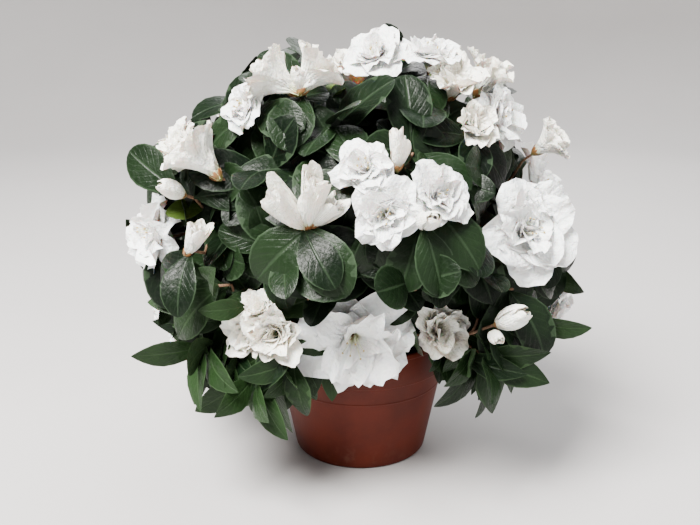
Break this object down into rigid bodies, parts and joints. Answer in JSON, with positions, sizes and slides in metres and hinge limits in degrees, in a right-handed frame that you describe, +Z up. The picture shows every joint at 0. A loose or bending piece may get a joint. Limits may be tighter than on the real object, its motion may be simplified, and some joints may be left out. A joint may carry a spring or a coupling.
{
  "type": "potted azalea shrub",
  "caption": "Flowering azalea shrub in a tapered plastic pot: short stem, spreading boughs and dense masses of evergreen leaves with white double blossom.",
  "frame": {"origin": "centre of the flat underside of the pot", "axes": "+Z up along the pot's axis, -Y towards the side that the picture shows, +X to the right of that side"},
  "size_m": [0.3109, 0.3293, 0.3036],
  "materials": {
    "pot": "matte brick red",
    "soil": "dark moist peat",
    "bark": "rough grey-brown bark",
    "leaves": "dark green glossy leaves with white blossom"
  },
  "bodies": {
    "root": {"pot": "pot", "soil": "soil", "stem": "bark", "bough_crown_1": "bark", "bough_skirt_1": "bark", "bough_skirt_2": "bark", "bough_skirt_3": "bark", "bough_skirt_4": "bark", "bough_skirt_5": "bark", "bough_skirt_6": "bark", "bough_skirt_7": "bark", "bough_skirt_8": "bark", "bough_upper_1": "bark", "bough_upper_2": "bark", "bough_upper_3": "bark", "bough_waist_1": "bark", "bough_waist_2": "bark", "bough_waist_3": "bark", "bough_waist_4": "bark", "bough_waist_5": "bark", "bough_waist_6": "bark", "bough_waist_7": "bark", "bough_waist_8": "bark", "mass_crown_1": "leaves", "mass_skirt_1": "leaves", "mass_skirt_2": "leaves", "mass_skirt_3": "leaves", "mass_skirt_4": "leaves", "mass_skirt_5": "leaves", "mass_skirt_6": "leaves", "mass_skirt_7": "leaves", "mass_skirt_8": "leaves", "mass_upper_1": "leaves", "mass_upper_2": "leaves", "mass_upper_3": "leaves", "mass_waist_1": "leaves", "mass_waist_2": "leaves", "mass_waist_3": "leaves", "mass_waist_4": "leaves", "mass_waist_5": "leaves", "mass_waist_6": "leaves", "mass_waist_7": "leaves", "mass_waist_8": "leaves"}
  },
  "joints": []
}
